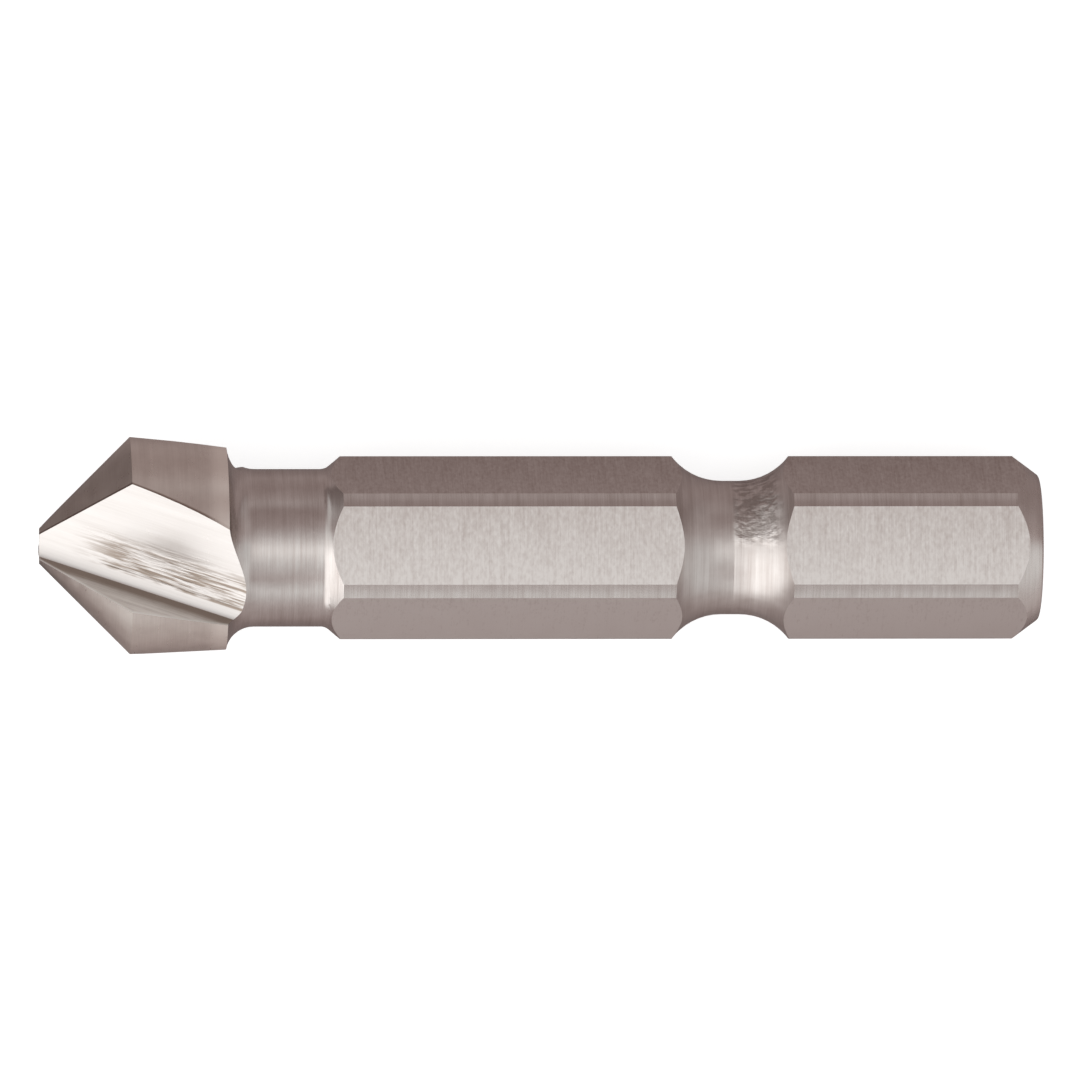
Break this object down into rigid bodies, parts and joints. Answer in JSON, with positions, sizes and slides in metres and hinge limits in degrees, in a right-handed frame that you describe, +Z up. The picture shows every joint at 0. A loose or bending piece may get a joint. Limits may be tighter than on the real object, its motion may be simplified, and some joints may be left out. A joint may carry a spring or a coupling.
{
  "type": "countersink bit",
  "caption": "Ninety-degree fluted countersink with relieved cutting lands, a round neck and a hexagonal quick-change shank with a ring groove.",
  "frame": {"origin": "on the surface that the bit lies on, under the middle of its bounding box", "axes": "+X along the bit from the point towards the shank end, +Z up, +Y across; the bit lies on its lowest hexagon flat and the widest corner of its head, so its own axis falls 1.65 degrees towards the shank end"},
  "size_m": [0.0386, 0.0084, 0.0079],
  "materials": {
    "ground_steel": "bare ground tool steel: bright flute walls, satin turned neck and flats, darker relieved lands"
  },
  "bodies": {
    "root": {"countersink_bit": "ground_steel"}
  },
  "joints": []
}
